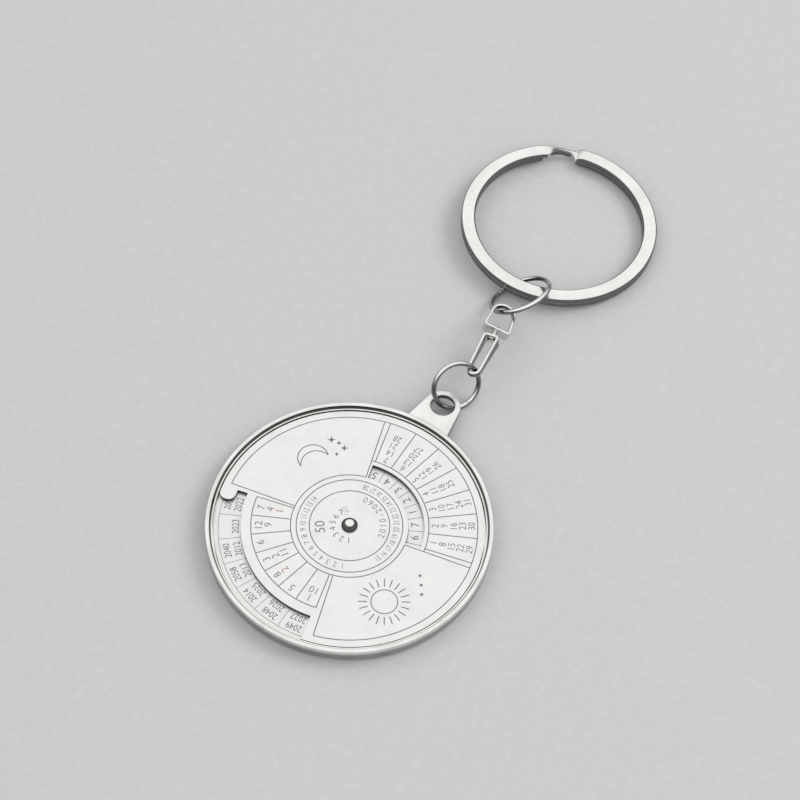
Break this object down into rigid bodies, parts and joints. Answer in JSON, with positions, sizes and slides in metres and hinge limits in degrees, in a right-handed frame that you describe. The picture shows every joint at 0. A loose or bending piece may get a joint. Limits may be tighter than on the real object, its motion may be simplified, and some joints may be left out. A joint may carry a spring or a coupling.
{
  "type": "perpetual calendar keyring",
  "caption": "Round metal keyring with a calendar dial that turns over a fixed year plate, and a short chain with a swivel that carries a split ring for keys.",
  "frame": {"origin": "centre of the case's flat back, on the dial's axis", "axes": "+Z out of the dial's face, +Y from the case towards the split ring"},
  "size_m": [0.0406, 0.0976, 0.0069],
  "materials": {
    "nickel_plate": "bright nickel plate, polished",
    "year_plate_steel": "satin with etched grey figures",
    "spring_steel": "plain rolled",
    "etched_steel": "satin with etched grey figures",
    "polished_steel": "polished"
  },
  "bodies": {
    "case": {"case": "nickel_plate", "year_dial": "year_plate_steel", "friction_washer": "spring_steel", "centre_rivet": "polished_steel"},
    "date_dial": {"date_dial": "etched_steel"},
    "case_ring": {"case_jump_ring": "nickel_plate"},
    "lower_bail": {"swivel_lower_bail": "polished_steel", "swivel_rivet": "nickel_plate"},
    "upper_bail": {"swivel_upper_bail": "polished_steel"},
    "key_ring": {"key_jump_ring": "nickel_plate"},
    "split_ring": {"split_ring": "nickel_plate"}
  },
  "joints": [
    {"name": "dial_turn", "type": "hinge", "parent": "case", "child": "date_dial", "pos_m": [0, 0, 0.0018], "axis": [0, 0, 1], "continuous": true},
    {"name": "case_ring_swing", "type": "hinge", "parent": "case", "child": "case_ring", "pos_m": [-0.00022, 0.02449, 0.0015], "axis": [0.6634, 0.3371, -0.668], "range_deg": [-30, 30]},
    {"name": "lower_bail_swing", "type": "hinge", "parent": "case_ring", "child": "lower_bail", "pos_m": [0.00135, 0.03048, 0.00481], "axis": [-0.6087, -0.1292, 0.7828], "range_deg": [-45, 45]},
    {"name": "swivel_spin", "type": "hinge", "parent": "lower_bail", "child": "upper_bail", "pos_m": [0.00038, 0.037, 0.00435], "axis": [-0.1474, 0.9866, -0.0698], "continuous": true},
    {"name": "key_ring_swing", "type": "hinge", "parent": "upper_bail", "child": "key_ring", "pos_m": [-0.00067, 0.04206, 0.00399], "axis": [0.819, 0.0729, 0.5691], "range_deg": [-35, 35]},
    {"name": "split_ring_turn", "type": "hinge", "parent": "key_ring", "child": "split_ring", "pos_m": [-0.00316, 0.06229, 0.00165], "axis": [0.03, 0.028, 0.9992], "continuous": true}
  ]
}
